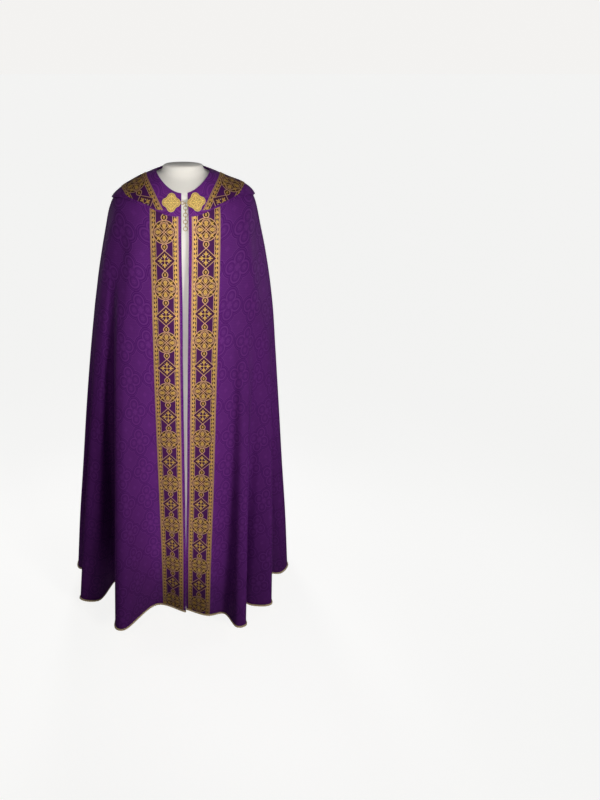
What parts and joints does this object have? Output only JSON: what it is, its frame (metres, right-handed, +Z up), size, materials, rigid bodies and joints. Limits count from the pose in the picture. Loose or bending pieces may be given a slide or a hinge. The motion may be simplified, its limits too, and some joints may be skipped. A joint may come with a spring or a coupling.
{
  "type": "cope vestment on a dress form",
  "caption": "Floor-length semicircular cope vestment with gold bands, a pointed hood, a clasp and a chain, draped over a limbless dress form that stands on its flat base.",
  "frame": {"origin": "centre of the dress form's flat base", "axes": "+Z up; the front opening faces -Y, so the wearer's right side is at -X"},
  "size_m": [0.839, 0.7253, 1.58],
  "materials": {
    "purple_damask": "satin damask weave, tone on tone",
    "gold_galloon": "woven metallic galloon with purple and brown grounds",
    "gold_piping": "pale gold corded piping",
    "gold_metal": "bright gold plated, cast relief",
    "cream_form": "plain cream cover",
    "purple_cord": "thin twisted cord",
    "clear_acrylic": "clear, polished"
  },
  "bodies": {
    "garment": {"dress_form": "cream_form", "mantle": "purple_damask", "front_band_left": "gold_galloon", "front_band_right": "gold_galloon", "hem_piping": "gold_piping", "hood": "purple_damask", "hood_band_centre": "gold_galloon", "hood_band_left": "gold_galloon", "hood_band_right": "gold_galloon", "clasp_plate_left": "gold_metal", "clasp_plate_right": "gold_metal", "clasp_eye": "gold_metal", "clasp_hook": "gold_metal"},
    "chain": {"chain_ring_1": "gold_metal", "chain_ring_2": "gold_metal", "chain_ring_3": "gold_metal", "chain_ring_4": "gold_metal", "chain_ring_5": "gold_metal", "chain_ring_6": "gold_metal", "chain_ring_7": "gold_metal", "chain_ring_8": "gold_metal"},
    "drop": {"tip_cord": "purple_cord", "tip_drop_upper": "clear_acrylic", "tip_drop_lower": "clear_acrylic"}
  },
  "joints": [
    {"name": "chain_swing", "type": "hinge", "parent": "garment", "child": "chain", "pos_m": [0.0072, -0.13652, 1.48971], "axis": [1, 0, 0], "range_deg": [-40, 4]},
    {"name": "drop_swing", "type": "hinge", "parent": "garment", "child": "drop", "pos_m": [0, 0.18808, 1.14343], "axis": [1, 0, 0], "range_deg": [0, 45]}
  ]
}
